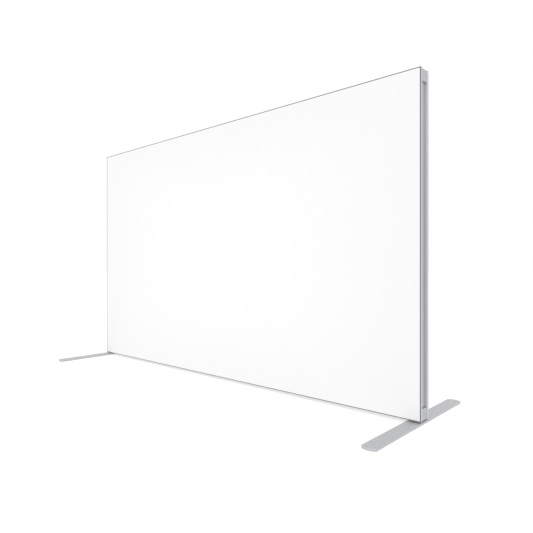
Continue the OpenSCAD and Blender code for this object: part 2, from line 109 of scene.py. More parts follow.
floor_mesh = bpy.data.meshes.new("floor")
reach = FLOOR_SIZE / 2
floor_corners = [(-reach, -reach, 0), (reach, -reach, 0), (reach, reach, 0), (-reach, reach, 0)]
floor_mesh.from_pydata(floor_corners, [], [(0, 1, 2, 3)])
floor = bpy.data.objects.new("floor", floor_mesh)
scene.collection.objects.link(floor)

# %% [markdown]
# ## Two small helpers for node trees
# Materials and Geometry Nodes are both trees of nodes. One function adds a node and
# fills its inputs, by a value or by a link from another node's output. The other
# starts a material.

# %% Node helpers
def add(tree, kind, inputs=None, **settings):
    """Adds a node to a tree. An input that is given a socket is linked to it."""
    made = tree.nodes.new(kind)
    for name, value in settings.items():
        setattr(made, name, value)
    for name, value in (inputs or {}).items():
        if isinstance(value, bpy.types.NodeSocket):
            tree.links.new(value, made.inputs[name])
        else:
            made.inputs[name].default_value = value
    return made


def start_material(name, surface=None):
    """A material whose shader has these plain numbers, and its tree."""
    material = bpy.data.materials.new(name)
    material.use_nodes = True
    shader = material.node_tree.nodes["Principled BSDF"]
    for socket, value in (surface or {}).items():
        shader.inputs[socket].default_value = value
    return material, material.node_tree, shader


# %% [markdown]
# ## Building blocks of a finish
# Real surfaces vary at two scales: a slow drift in tone, and a fine grain that the light
# catches. Each block below is a noise read in the piece's own coordinates, in metres,
# so it stays put when a foot turns.

# %% Noise, tone and bump
def grain(tree, size, stretch=(1, 1, 1), detail=2.0):
    """Noise whose lumps are about size metres across, drawn out along an axis by stretch."""
    where = add(tree, "ShaderNodeTexCoord").outputs["Object"]
    spread = add(tree, "ShaderNodeMapping", {"Vector": where, "Scale": stretch})
    noise = add(
        tree,
        "ShaderNodeTexNoise",
        {"Vector": spread.outputs["Vector"], "Scale": 1 / size, "Detail": detail},
    )
    return noise.outputs["Fac"]


def between(tree, factor, low, high):
    """Turns a noise into a number from low to high."""
    ranged = add(
        tree,
        "ShaderNodeMapRange",
        {"Value": factor, "From Min": 0.25, "From Max": 0.75, "To Min": low, "To Max": high},
    )
    return ranged.outputs["Result"]


def tint(tree, factor, first, second):
    """A colour between two others, chosen by a noise."""
    ramp = add(tree, "ShaderNodeValToRGB", {"Fac": factor})
    ramp.color_ramp.elements[0].position = 0.3
    ramp.color_ramp.elements[1].position = 0.7
    ramp.color_ramp.elements[0].color = (*first, 1)
    ramp.color_ramp.elements[1].color = (*second, 1)
    return ramp.outputs["Color"]


def relief(tree, shader, height, depth, strength=1.0):
    """Gives the shader a bump of depth metres."""
    bump = add(
        tree,
        "ShaderNodeBump",
        {"Height": height, "Distance": depth, "Strength": strength},
    )
    tree.links.new(bump.outputs["Normal"], shader.inputs["Normal"])


# %% [markdown]
# ## Anodised extrusion
# An extruded bar carries faint lines along its whole length, left by the die, and the
# anodising makes it a soft satin grey. The lines are noise drawn out a hundredfold along
# the bar, so an upright and a rail need one material each. The etched surface scatters
# light almost like paint, so the metal is mixed with a plain reflector. The thin lips
# beside the cloth are painted darker, much darker on the uprights: painted shade that
# stands in for the darker reflection they show. A mask on the depth picks them out.

# %% Anodised aluminium
LIP_SHADE_FROM = 0.0619
LIP_SHADE_BLEND = 0.0004
DIE_LINE = 0.0006
DIE_BAND = 0.009
DRAWN_OUT = 0.01


def anodised(name, along, body, lip_painted_shade):
    """Satin silver aluminium: die lines along axis 0, 1 or 2; the last two numbers scale its tone as painted
    shade, over the rest of the bar and on its thin lips.
    """
    material, tree, shader = start_material(name, {"Metallic": 0.35})
    lines_stretch = [1, 1, 1]
    lines_stretch[along] = DRAWN_OUT
    lines = grain(tree, DIE_LINE, lines_stretch, 3.0)
    bands = grain(tree, DIE_BAND, lines_stretch, 1.0)
    tone = tint(tree, bands, (0.49, 0.49, 0.512), (0.53, 0.53, 0.552))
    place = add(tree, "ShaderNodeTexCoord").outputs["Object"]
    parts = add(tree, "ShaderNodeSeparateXYZ", {"Vector": place})
    depth = add(tree, "ShaderNodeMath", {0: parts.outputs["Y"]}, operation="ABSOLUTE")
    # Painted shade: the tone is scaled by body away from the lips and by the lip value on them.
    painted_shade_share = add(
        tree,
        "ShaderNodeMapRange",
        {
            "Value": depth.outputs[0],
            "From Min": LIP_SHADE_FROM,
            "From Max": LIP_SHADE_FROM + LIP_SHADE_BLEND,
            "To Min": body,
            "To Max": lip_painted_shade,
        },
    )
    painted_shade_tone = add(tree, "ShaderNodeVectorMath", {0: tone}, operation="SCALE")
    tree.links.new(painted_shade_share.outputs["Result"], painted_shade_tone.inputs["Scale"])
    tree.links.new(painted_shade_tone.outputs["Vector"], shader.inputs["Base Color"])
    tree.links.new(between(tree, lines, 0.36, 0.5), shader.inputs["Roughness"])
    relief(tree, shader, lines, 0.00003, 0.5)
    return material


# Painted shade: the uprights' lips are painted at a fifth of the tone, the rails' lips at nine tenths.
upright_finish = anodised("anodised_upright_lip_shade", 2, 1.0, 0.2)
rail_finish = anodised("anodised_rail", 0, 1.0, 0.9)
# Painted shade: the channel's end webs are painted a fifth darker, for the shade in the recess.
web_shade_finish = anodised("anodised_web_painted_shade", 2, 0.8, 0.8)
print("made", upright_finish.name, rail_finish.name, "and", web_shade_finish.name)


# %% [markdown]
# ## The other metals
# The corner plates are cast and then blasted with fine grit, so they look a little
# lighter and duller than the bars. The screws, keys and bolts are zinc-plated. The feet
# have a silver powder coat, which shows a fine orange-peel and tiny bright flakes.

# %% Cast, plated and coated metal
def blasted_casting():
    material, tree, shader = start_material("blasted_casting", {"Metallic": 1.0})
    grit = grain(tree, 0.0004, detail=4.0)
    drift = grain(tree, 0.03)
    tone = tint(tree, drift, (0.5, 0.5, 0.52), (0.55, 0.55, 0.57))
    tree.links.new(tone, shader.inputs["Base Color"])
    tree.links.new(between(tree, grit, 0.48, 0.62), shader.inputs["Roughness"])
    relief(tree, shader, grit, 0.00006, 0.7)
    return material


def zinc_plate():
    material, tree, shader = start_material("zinc_plate", {"Metallic": 1.0})
    blotch = grain(tree, 0.006, detail=3.0)
    tone = tint(tree, blotch, (0.42, 0.43, 0.44), (0.55, 0.56, 0.57))
    tree.links.new(tone, shader.inputs["Base Color"])
    tree.links.new(between(tree, blotch, 0.24, 0.4), shader.inputs["Roughness"])
    relief(tree, shader, grain(tree, 0.0008), 0.00003, 0.5)
    return material


def silver_powder_coat():
    material, tree, shader = start_material("silver_powder_coat", {"Metallic": 0.75})
    peel = grain(tree, 0.0016, detail=1.5)
    where = add(tree, "ShaderNodeTexCoord").outputs["Object"]
    flakes = add(tree, "ShaderNodeTexVoronoi", {"Vector": where, "Scale": 2200})
    tone = tint(tree, flakes.outputs["Color"], (0.455, 0.465, 0.483), (0.52, 0.53, 0.55))
    tree.links.new(tone, shader.inputs["Base Color"])
    tree.links.new(between(tree, peel, 0.38, 0.5), shader.inputs["Roughness"])
    relief(tree, shader, peel, 0.00005, 0.6)
    return material


# %% [markdown]
# ## Plastics, rubber and enamel
# These differ in colour, in gloss and in the size of their grain, so one function with
# those as arguments makes them all.

# %% Moulded and painted finishes
def moulded(name, dark, light, gloss, grain_size, depth, surface=None):
    """A non-metal: colour from dark to light, roughness from gloss, a bump of depth."""
    material, tree, shader = start_material(name, surface)
    fine = grain(tree, grain_size, detail=3.0)
    slow = grain(tree, grain_size * 30)
    tree.links.new(tint(tree, slow, dark, light), shader.inputs["Base Color"])
    tree.links.new(between(tree, fine, *gloss), shader.inputs["Roughness"])
    relief(tree, shader, fine, depth, 0.7)
    return material


finish = {
    "anodised_frame": upright_finish,
    "corner_casting": blasted_casting(),
    "plated_steel": zinc_plate(),
    "silver_coat": silver_powder_coat(),
    # Black silicone, kept near black so that it also stands in as painted shade for the deep groove.
    "silicone": moulded(
        "black_silicone_groove_shade", (0.012, 0.012, 0.013), (0.02, 0.02, 0.021), (0.7, 0.85), 0.0007, 0.00005
    ),
    "white_enamel": moulded(
        "white_enamel", (0.8, 0.8, 0.79), (0.86, 0.86, 0.85), (0.3, 0.42), 0.002, 0.00004
    ),
    "lens_plastic": moulded(
        "lens_plastic",
        (0.86, 0.85, 0.8),
        (0.92, 0.91, 0.87),
        (0.06, 0.14),
        0.001,
        0.00001,
        {"Transmission Weight": 0.7},
    ),
    "wire_jacket": moulded(
        "wire_jacket", (0.05, 0.05, 0.052), (0.075, 0.075, 0.078), (0.5, 0.65), 0.0009, 0.00005
    ),
    "black_plastic": moulded(
        "black_plastic", (0.018, 0.018, 0.019), (0.028, 0.028, 0.029), (0.4, 0.58), 0.0005, 0.00005
    ),
    "nickel_pins": moulded(
        "nickel_pins",
        (0.66, 0.63, 0.58),
        (0.74, 0.71, 0.66),
        (0.12, 0.24),
        0.0006,
        0.00001,
        {"Metallic": 1.0},
    ),
    "black_rubber": moulded(
        "black_rubber", (0.02, 0.02, 0.02), (0.035, 0.034, 0.033), (0.7, 0.88), 0.0008, 0.0001
    ),
    "grey_nylon": moulded(
        "grey_nylon", (0.09, 0.09, 0.095), (0.13, 0.13, 0.135), (0.42, 0.56), 0.0006, 0.00004
    ),
}
floor_mesh.materials.append(
    moulded(
        "studio_floor",
        (FLOOR_TONE - 0.01,) * 3,
        (FLOOR_TONE,) * 3,
        (0.85, 0.95),
        0.004,
        0.00005,
        {
            "Specular IOR Level": 0.1,
            "Emission Color": (FLOOR_GLOW,) * 3 + (1,),
            "Emission Strength": 1.0,
        },
    )
)
print("made", len(finish), "finishes")

# %% [markdown]
# ## Sizes of the frame profile
# Every bar of the frame has the same section. It is drawn outward from the bar's inner
# face (v) and across the wall's depth (y). The engineering model gives the outer sizes,
# and the groove and channel are the extrusion's own.

# %% Sizes
frame_low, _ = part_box("left_front_stile")
_, frame_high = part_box("right_rear_stile")
half_width = frame_high.x
half_depth = frame_high.y
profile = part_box("left_front_stile")[1].x - frame_low.x
ground_gap = frame_low.z
top_edge = frame_high.z
wall_height = top_edge - ground_gap

MM = 0.001
LIP = 2.5 * MM
GROOVE = 4.5 * MM
GROOVE_DEPTH = 16 * MM
LEDGE = 3 * MM
CHANNEL_HALF = 40 * MM
CHANNEL_DEPTH = 15 * MM
WEB = 3 * MM
TUBE = 10 * MM
TUBE_WALL = 2.5 * MM
CLOTH_ROOM = 1 * MM
SLOT_DEPTH = 3.5 * MM
SLOT_ROOM = 0.1 * MM
GROOVE_STEP = 0.5 * MM
SECTION_ROUND = 0.5 * MM

groove_top = profile - LIP
groove_low = groove_top - GROOVE
groove_floor = half_depth - GROOVE_DEPTH
ledge_face = half_depth - CLOTH_ROOM
print("frame", half_width * 2, "x", wall_height, "x", half_depth * 2)

# %% [markdown]
# ## The section as an outline
# A die has small radii wherever the drawing shows a corner, and those radii catch the
# light. This function replaces each corner of an outline by a short arc.

# %% Rounded outline
def rounded(points, radius, steps=3):
    """A closed outline with each corner replaced by an arc of that radius."""
    made = []
    for index, corner in enumerate(points):
        here = Vector(corner)
        before = Vector(points[index - 1]) - here
        after = Vector(points[(index + 1) % len(points)]) - here
        turn = before.angle(after)
        reach = min(radius / math.tan(turn / 2), before.length * 0.45, after.length * 0.45)
        start = here + before.normalized() * reach
        end = here + after.normalized() * reach
        for k in range(steps + 1):
            t = k / steps
            made.append(start.lerp(here, t).lerp(here.lerp(end, t), t))
    return made


slot_low = profile - CHANNEL_DEPTH - WEB - SLOT_ROOM
slot_high = profile - CHANNEL_DEPTH + SLOT_ROOM
slot_end = CHANNEL_HALF + SLOT_DEPTH
tube_far = groove_floor - GROOVE_STEP
tube_near = tube_far - TUBE
EDGE_SECTION = [
    (0, tube_near),
    (0, tube_far),
    (groove_low - LEDGE, tube_far),
    (groove_low - LEDGE, ledge_face),
    (groove_low, ledge_face),
    (groove_low, groove_floor),
    (groove_top, groove_floor),
    (groove_top, half_depth),
    (profile, half_depth),
    (profile, CHANNEL_HALF),
    (slot_high, CHANNEL_HALF),
    (slot_high, slot_end),
    (slot_low, slot_end),
    (slot_low, tube_near),
]
hollow_top = slot_low - TUBE_WALL
TUBE_HOLLOW = [
    (TUBE_WALL, tube_near + TUBE_WALL),
    (TUBE_WALL, tube_far - TUBE_WALL),
    (hollow_top, tube_far - TUBE_WALL),
    (hollow_top, tube_near + TUBE_WALL),
]


def outline_mesh(name, loops):
    """A mesh of closed loops of edges, with no faces."""
    verts = []
    edges = []
    for loop in loops:
        first = len(verts)
        verts += [(point[0], point[1], 0) for point in loop]
        edges += [(first + k, first + (k + 1) % len(loop)) for k in range(len(loop))]
    mesh = bpy.data.meshes.new(name)
    mesh.from_pydata(verts, edges, [])
    return mesh


section_loops = [rounded(loop, SECTION_ROUND) for loop in (EDGE_SECTION, TUBE_HOLLOW)]
section = outline_mesh("edge_section", section_loops)
print("section has", len(section.vertices), "points")

# %% [markdown]
# ## Extruding the bars with Geometry Nodes
# Twelve bars share one section and differ in length and in which ends are sawn at 45
# degrees. That is a rule, so Geometry Nodes make them: fill the outline, extrude it, and
# slide the end faces in by how far each point lies from the outer face. A hair of
# distance is left at each end, so that the joints read as fine lines.

# %% The extrusion tree
def extrusion_tree():
    tree = bpy.data.node_groups.new("sawn_extrusion", "GeometryNodeTree")
    sockets = tree.interface
    sockets.new_socket("Outline", in_out="INPUT", socket_type="NodeSocketGeometry")
    for name in ("Length", "Height", "Start mitre", "End mitre", "Saw gap"):
        sockets.new_socket(name, in_out="INPUT", socket_type="NodeSocketFloat")
    sockets.new_socket("Finish", in_out="INPUT", socket_type="NodeSocketMaterial")
    sockets.new_socket("Bar", in_out="OUTPUT", socket_type="NodeSocketGeometry")
    given = add(tree, "NodeGroupInput").outputs

    def math_node(operation, first, second):
        made = add(tree, "ShaderNodeMath", {0: first, 1: second}, operation=operation)
        return made.outputs[0]

    curve = add(tree, "GeometryNodeMeshToCurve", {"Mesh": given["Outline"]})
    face = add(tree, "GeometryNodeFillCurve", {"Curve": curve.outputs["Curve"]}, mode="TRIANGLES")
    up = add(tree, "ShaderNodeCombineXYZ", {"Z": given["Length"]})
    grown = add(
        tree,
        "GeometryNodeExtrudeMesh",
        {"Mesh": face.outputs[0], "Offset": up.outputs[0], "Offset Scale": 1.0, "Individual": False},
    )
    base = add(tree, "GeometryNodeFlipFaces", {"Mesh": face.outputs[0]})
    whole = add(tree, "GeometryNodeJoinGeometry", {"Geometry": grown.outputs["Mesh"]})
    tree.links.new(base.outputs[0], whole.inputs[0])
    closed = add(tree, "GeometryNodeMergeByDistance", {"Geometry": whole.outputs[0], "Distance": 1e-6})

    place = add(tree, "ShaderNodeSeparateXYZ", {0: add(tree, "GeometryNodeInputPosition").outputs[0]})
    inward = math_node("SUBTRACT", given["Height"], place.outputs["X"])
    at_start = math_node("ADD", math_node("MULTIPLY", inward, given["Start mitre"]), given["Saw gap"])
    at_end = math_node("ADD", math_node("MULTIPLY", inward, given["End mitre"]), given["Saw gap"])
    along = math_node("DIVIDE", place.outputs["Z"], given["Length"])
    back = math_node("MULTIPLY", at_end, along)
    rest = math_node("SUBTRACT", 1.0, along)
    slide = math_node("SUBTRACT", math_node("MULTIPLY", at_start, rest), back)
    shift = add(tree, "ShaderNodeCombineXYZ", {"Z": slide})
    sawn = add(tree, "GeometryNodeSetPosition", {"Geometry": closed.outputs[0], "Offset": shift.outputs[0]})
    real = add(tree, "GeometryNodeRealizeInstances", {"Geometry": sawn.outputs[0]})
    coated = add(tree, "GeometryNodeSetMaterial", {"Geometry": real.outputs[0], "Material": given["Finish"]})
    add(tree, "NodeGroupOutput", {"Bar": coated.outputs[0]})
    return tree


# %% [markdown]
# A modifier's inputs are set by each socket's own identifier. The evaluated result is
# then copied to a plain mesh, the modifier goes, and the copy is moved to its place. A
# mirrored bar would be inside out, so the normals are worked out again.

# %% From a tree to a plain mesh
def set_inputs(modifier, values):
    """Sets a Geometry Nodes modifier's inputs by the names that its tree shows."""
    for item in modifier.node_group.interface.items_tree:
        if item.in_out == "INPUT" and item.name in values:
            modifier[item.identifier] = values[item.name]


def plain_mesh(source, name):
    """The object's mesh with its modifiers worked in. The source object is removed."""
    bpy.context.view_layer.update()
    graph = bpy.context.evaluated_depsgraph_get()
    mesh = bpy.data.meshes.new_from_object(source.evaluated_get(graph))
    mesh.name = name
    bpy.data.objects.remove(source)
    return mesh


def shade(mesh, sharp=32):
    """Smooth shading, with edges sharper than that many degrees kept crisp."""
    for polygon in mesh.polygons:
        polygon.use_smooth = True
    mesh.set_sharp_from_angle(angle=math.radians(sharp))


def right_way_out(mesh):
    """Merges doubled points and turns every face outward."""
    work = bmesh.new()
    work.from_mesh(mesh)
    bmesh.ops.remove_doubles(work, verts=work.verts, dist=1e-6)
    bmesh.ops.recalc_face_normals(work, faces=work.faces)
    work.to_mesh(mesh)
    work.free()


def grow(name, source_mesh, tree, values, place=Matrix.Identity(4)):
    """Runs a tree on a mesh and returns a finished object in its place."""
    source = bpy.data.objects.new(name + "_source", source_mesh)
    scene.collection.objects.link(source)
    modifier = source.modifiers.new("nodes", "NODES")
    modifier.node_group = tree
    set_inputs(modifier, values)
    mesh = plain_mesh(source, name)
    mesh.transform(place)
    right_way_out(mesh)
    shade(mesh)
    made = bpy.data.objects.new(name, mesh)
    scene.collection.objects.link(made)
    return made


def settle(piece, body, slot_name, *nodes):
    """Says what a piece rides on and hides the nodes that it stands for; slot_name is not used."""
    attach(piece, body)
    if nodes:
        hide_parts(*nodes)
    return piece


# %% [markdown]
# ## The twelve bars
# A bar is drawn standing, then carried to one of four sides of the frame. The front ones
# are the rear ones mirrored in Y.

# %% Places of the four sides
def mirrored(x=1, y=1, z=1):
    return Matrix.Diagonal((x, y, z, 1))


at_right = Matrix.Translation((half_width - profile, 0, ground_gap))
at_left = mirrored(x=-1) @ at_right
along_bottom = Matrix.Translation((0, 0, ground_gap + profile)) @ Matrix.Rotation(math.pi / 2, 4, "Y")
upside_down = Matrix.Translation((0, 0, ground_gap + top_edge)) @ mirrored(z=-1)
along_top = upside_down @ along_bottom

# %% Stiles and rails
SAW_GAP = 0.12 * MM
sawn_extrusion = extrusion_tree()
stile = (wall_height, 1.0, upright_finish)
rail = (half_width, 0.0, rail_finish)
SIDES = [
    ("left_{}_stile", at_left, stile),
    ("right_{}_stile", at_right, stile),
    ("bottom_{}_rail_left", mirrored(x=-1) @ along_bottom, rail),
    ("bottom_{}_rail_right", along_bottom, rail),
    ("top_{}_rail_left", mirrored(x=-1) @ along_top, rail),
    ("top_{}_rail_right", along_top, rail),
]
bars = {"front": [], "rear": []}
for pattern, place, (length, start_mitre, coat) in SIDES:
    for face, flip in (("front", -1), ("rear", 1)):
        node_name = pattern.format(face)
        sizes = {
            "Length": length,
            "Height": profile,
            "Start mitre": start_mitre,
            "End mitre": 1.0,
            "Saw gap": SAW_GAP,
            "Finish": coat,
        }
        turned = place @ mirrored(y=flip)
        bar = grow(node_name + "_bar", section.copy(), sawn_extrusion, sizes, turned)
        settle(bar, "wall", "anodised_frame", node_name)
        bars[face].append(bar)
print("bars:", [len(group) for group in bars.values()], "faces each:", len(bar.data.polygons))

# %% [markdown]
# ## The stretched cloth
# The cloth is a knit, sewn all round to a silicone strip that is pushed into the groove.
# It is drum-tight, so its face is flat, and its rim rolls over the groove's inner wall
# and runs down into the groove. A grid gives the flat part. Then the rim is pushed out
# ring by ring along a short path: a quarter turn, then straight down.

# %% Sizes of the cloth
CLOTH = 0.35 * MM
CLOTH_CELLS = (168, 100)
TUCK = 13 * MM
TURN_RADIUS = 0.7 * MM
TURN_STEPS = 5
PULL = 0.3 * MM
EDGE_ROOM = 0.25 * MM
FACE_ROOM = 0.3 * MM
DRAG_CORNERS = 6
DRAG_LINES = 38
DRAG_SKEW = 9
DRAG_RIM = 12

cloth_edge = profile - groove_low - EDGE_ROOM
cloth_half_x = half_width - cloth_edge
cloth_half_z = wall_height / 2 - cloth_edge
cloth_middle_z = (ground_gap + top_edge) / 2
cloth_face = half_depth - FACE_ROOM

# %% The cloth's mesh
def rim_path():
    """Steps outward and down from the flat part's edge: a quarter turn, then the tuck."""
    path = []
    for k in range(1, TURN_STEPS + 1):
        angle = math.pi / 2 * k / TURN_STEPS
        path.append((TURN_RADIUS * math.sin(angle), TURN_RADIUS * (1 - math.cos(angle))))
    path.append((TURN_RADIUS, TURN_RADIUS + TUCK / 2))
    path.append((TURN_RADIUS, TUCK))
    return path


def drag(x, z):
    """Faint drag lines in the cloth, strongest toward the corners and nil at the middle."""
    u = abs(x) / cloth_half_x
    w = abs(z) / cloth_half_z
    corner = (u * w) ** DRAG_CORNERS
    return PULL * corner * math.sin(DRAG_LINES * (u + w) + DRAG_SKEW * (u - w))


def cloth_mesh(name, facing):
    """A cloth that looks toward -Y when facing is -1 and toward +Y when it is 1."""
    flat_x = cloth_half_x - TURN_RADIUS
    flat_z = cloth_half_z - TURN_RADIUS
    work = bmesh.new()
    columns, rows = CLOTH_CELLS
    grid = []
    for j in range(rows + 1):
        z = (2 * j / rows - 1) * flat_z
        line = []
        for i in range(columns + 1):
            x = (2 * i / columns - 1) * flat_x
            from_rim = 1 - max(abs(x) / flat_x, abs(z) / flat_z)
            depth = cloth_face - PULL + drag(x, z) * min(1, DRAG_RIM * from_rim)
            line.append(work.verts.new((x, depth, z + cloth_middle_z)))
        grid.append(line)
    for j in range(rows):
        for i in range(columns):
            corners = (grid[j][i], grid[j][i + 1], grid[j + 1][i + 1], grid[j + 1][i])
            work.faces.new(corners)
    done_out, done_down = 0.0, 0.0
    edges = [edge for edge in work.edges if edge.is_boundary]
    for out, down in rim_path():
        grown = bmesh.ops.extrude_edge_only(work, edges=edges)["geom"]
        step_out, step_down = out - done_out, down - done_down
        for item in grown:
            if not isinstance(item, bmesh.types.BMVert):
                continue
            if abs(item.co.x) >= flat_x + done_out - 1e-6:
                item.co.x += math.copysign(step_out, item.co.x)
            if abs(item.co.z - cloth_middle_z) >= flat_z + done_out - 1e-6:
                item.co.z += math.copysign(step_out, item.co.z - cloth_middle_z)
            item.co.y -= step_down
        edges = [item for item in grown if isinstance(item, bmesh.types.BMEdge) and item.is_boundary]
        done_out, done_down = out, down
    for vert in work.verts:
        vert.co.y *= facing
    bmesh.ops.recalc_face_normals(work, faces=work.faces)
    middle = min(work.faces, key=lambda f: f.calc_center_median().xz.length)
    if middle.normal.y * facing < 0:
        bmesh.ops.reverse_faces(work, faces=work.faces)
    mesh = bpy.data.meshes.new(name)
    work.to_mesh(mesh)
    work.free()
    return mesh


# %% [markdown]
# ## The knit and its glow
# Up close the cloth is a warp knit: small ribs across and finer ones down. Two wave
# textures make its relief. The glow comes from the light bars behind, so it falls off
# toward the rim in rounded rectangles. Adding the fourth powers of the distances from the
# middle gives that shape, and a second power sets how fast it fades. The hem that is
# tucked in the groove gets no glow, and just below the face its colour is painted near
# black: painted shade that stands in for the dark groove.

# %% Knitted cloth, lit from behind
GLOW_MIDDLE = 0.175
GLOW_RIM = 0.125
GLOW_CORNERS = 4.0
GLOW_FADE = 1.5
CLOTH_TONES = ((0.6, 0.6, 0.6), (0.63, 0.63, 0.63))
# Painted shade: the tucked hem is painted near black, for the dark groove.
HEM_PAINTED_SHADE = (0.03, 0.03, 0.03)
HEM_BELOW = 1.0 * MM
KNIT_PITCH = 0.9 * MM
KNIT_DOWN = 0.7
KNIT_DEPTH = 0.05 * MM
WAVE_SCALE = 0.314


def knit_relief(tree, shader, where):
    """Small ribs across and finer ones down, as a bump."""
    heights = []
    for direction, pitch in (("X", KNIT_PITCH), ("Z", KNIT_PITCH * KNIT_DOWN)):
        wave = add(
            tree,
            "ShaderNodeTexWave",
            {"Vector": where, "Scale": WAVE_SCALE / pitch, "Distortion": 0.6, "Detail": 1.0},
            bands_direction=direction,
        )
        heights.append(wave.outputs["Fac"])
    ribs = add(tree, "ShaderNodeMath", {0: heights[0], 1: heights[1]}, operation="MULTIPLY")
    relief(tree, shader, ribs.outputs[0], KNIT_DEPTH, 0.5)


def glow(tree, split):
    """The strength of the light from behind, from the middle's to the rim's."""
    powers = []
    for direction in ("X", "Z"):
        size = add(tree, "ShaderNodeMath", {0: split.outputs[direction]}, operation="ABSOLUTE")
        power = add(tree, "ShaderNodeMath", {0: size.outputs[0], 1: GLOW_CORNERS}, operation="POWER")
        powers.append(power.outputs[0])
    total = add(tree, "ShaderNodeMath", {0: powers[0], 1: powers[1]}, operation="ADD")
    fade = {0: total.outputs[0], 1: GLOW_FADE / GLOW_CORNERS}
    distance = add(tree, "ShaderNodeMath", fade, operation="POWER")
    fall = add(
        tree,
        "ShaderNodeMapRange",
        {"Value": distance.outputs[0], "To Min": GLOW_MIDDLE, "To Max": GLOW_RIM},
    )
    return fall.outputs["Result"]


def knitted_cloth():
    material, tree, shader = start_material(
        "knitted_cloth", {"Sheen Weight": 0.15, "Specular IOR Level": 0.1}
    )
    where = add(tree, "ShaderNodeTexCoord").outputs["Object"]
    threads = grain(tree, 0.0007, detail=3.0)
    tone = tint(tree, threads, CLOTH_TONES[0], CLOTH_TONES[1])
    tree.links.new(between(tree, threads, 0.82, 0.94), shader.inputs["Roughness"])

    knit_relief(tree, shader, where)
    centred = add(
        tree,
        "ShaderNodeMapping",
        {
            "Vector": where,
            "Location": (0, 0, -cloth_middle_z / cloth_half_z),
            "Scale": (1 / cloth_half_x, 1, 1 / cloth_half_z),
        },
    )
    split = add(tree, "ShaderNodeSeparateXYZ", {0: centred.outputs[0]})
    depth = add(tree, "ShaderNodeMath", {0: split.outputs["Y"]}, operation="ABSOLUTE")
    face = add(
        tree,
        "ShaderNodeMapRange",
        {
            "Value": depth.outputs[0],
            "From Min": cloth_face - HEM_BELOW,
            "From Max": cloth_face - HEM_BELOW / 2,
        },
    )
    shown = face.outputs["Result"]
    # Painted shade: below the face the cloth's colour turns near black.
    tone_or_hem_shade = add(
        tree, "ShaderNodeMix", {"Factor": shown, 6: (*HEM_PAINTED_SHADE, 1), 7: tone}, data_type="RGBA"
    )
    tree.links.new(tone_or_hem_shade.outputs[2], shader.inputs["Base Color"])
    lit = add(tree, "ShaderNodeMath", {0: glow(tree, split), 1: shown}, operation="MULTIPLY")
    light = add(tree, "ShaderNodeCombineColor")
    for channel in ("Red", "Green", "Blue"):
        tree.links.new(lit.outputs[0], light.inputs[channel])
    tree.links.new(light.outputs["Color"], shader.inputs["Emission Color"])
    shader.inputs["Emission Strength"].default_value = 1.0
    return material


finish["white_fabric"] = knitted_cloth()

# %% [markdown]
# ## Silicone strips and finished cloths
# Each cloth is given its thickness. The strips in the groove keep the engineering model's shape, with softer
# edges.
# Softening means: copy the mesh, merge its loose triangles, melt flat areas into one
# face, and bevel what is left.

# %% Softened copies
SAME_POINT = 2e-6
FLAT_ENOUGH = math.radians(0.5)
SHARP_EDGE = math.radians(35)
FINE_EDGE = 0.5 * MM


def softened(node_name, width, body="wall", name=None, segments=2, slot_name=None):
    """A copy of an engineering piece with its sharp edges rounded."""
    mesh = frame["nodes"][node_name].data.copy()
    work = bmesh.new()
    work.from_mesh(mesh)
    bmesh.ops.remove_doubles(work, verts=work.verts, dist=SAME_POINT)
    bmesh.ops.dissolve_limit(
        work,
        angle_limit=FLAT_ENOUGH,
        verts=work.verts,
        edges=work.edges,
        use_dissolve_boundaries=False,
    )
    work.to_mesh(mesh)
    work.free()
    mesh.materials.clear()
    copy = bpy.data.objects.new(node_name + "_copy", mesh)
    scene.collection.objects.link(copy)
    bevel = copy.modifiers.new("edges", "BEVEL")
    bevel.width = width
    bevel.segments = segments
    bevel.limit_method = "ANGLE"
    bevel.angle_limit = SHARP_EDGE
    bevel.use_clamp_overlap = True
    piece_name = name or node_name + "_softened"
    done = plain_mesh(copy, piece_name)
    shade(done)
    slot_name = slot_name or slots[node_name]
    done.materials.append(finish[slot_name])
    piece = bpy.data.objects.new(piece_name, done)
    scene.collection.objects.link(piece)
    return settle(piece, body, slot_name, node_name)


slots = {part["node"]: part["material_slot"] for part in frame["record"]["subparts"]}
strips = {face: softened(face + "_silicone_edge", FINE_EDGE) for face in ("front", "rear")}
for face, facing in (("front", -1), ("rear", 1)):
    cloth = bpy.data.objects.new(face + "_cloth", cloth_mesh(face + "_cloth", facing))
    scene.collection.objects.link(cloth)
    thickness = cloth.modifiers.new("thickness", "SOLIDIFY")
    thickness.thickness = CLOTH
    thickness.offset = -1
    cloth.data.materials.append(finish["white_fabric"])
    for polygon in cloth.data.polygons:
        polygon.use_smooth = True
    settle(cloth, "wall", "white_fabric", face + "_fabric")
    print(cloth.name, "has", len(cloth.data.polygons), "faces")

# %% [markdown]
# ## Plate feet
# Each foot is a 16 mm plate whose ends are shallow arcs. The engineering copy draws those
# arcs as short flats, so the foot is lofted here from the arc's own formula: an outline,
# repeated at each height, with the pivot's hole and the bolt head's recess lofted inside.

# %% Foot outline
ARC_STEPS = 40
HOLE_STEPS = 48
FOOT_BULGE = 17 * MM
BOLT_HOLE = 6.05 * MM
RECESS = 11.5 * MM
RECESS_DEPTH = 8 * MM
EDGE_ROUND = 1.2 * MM


def foot_outline(low, high):
    """Points round a foot: an arc at each end, joined by straight sides."""
    half = (high.x - low.x) / 2
    reach = (high.y - low.y) / 2
    radius = (half * half + FOOT_BULGE * FOOT_BULGE) / (2 * FOOT_BULGE)
    sweep = math.asin(half / radius)
    middle = (low.x + high.x) / 2
    points = []
    for end in (1, -1):
        for k in range(ARC_STEPS + 1):
            angle = sweep * (1 - 2 * k / ARC_STEPS)
            x = end * radius * math.sin(angle)
            y = end * (reach - radius + radius * math.cos(angle))
            points.append((middle + x, y))
    return points


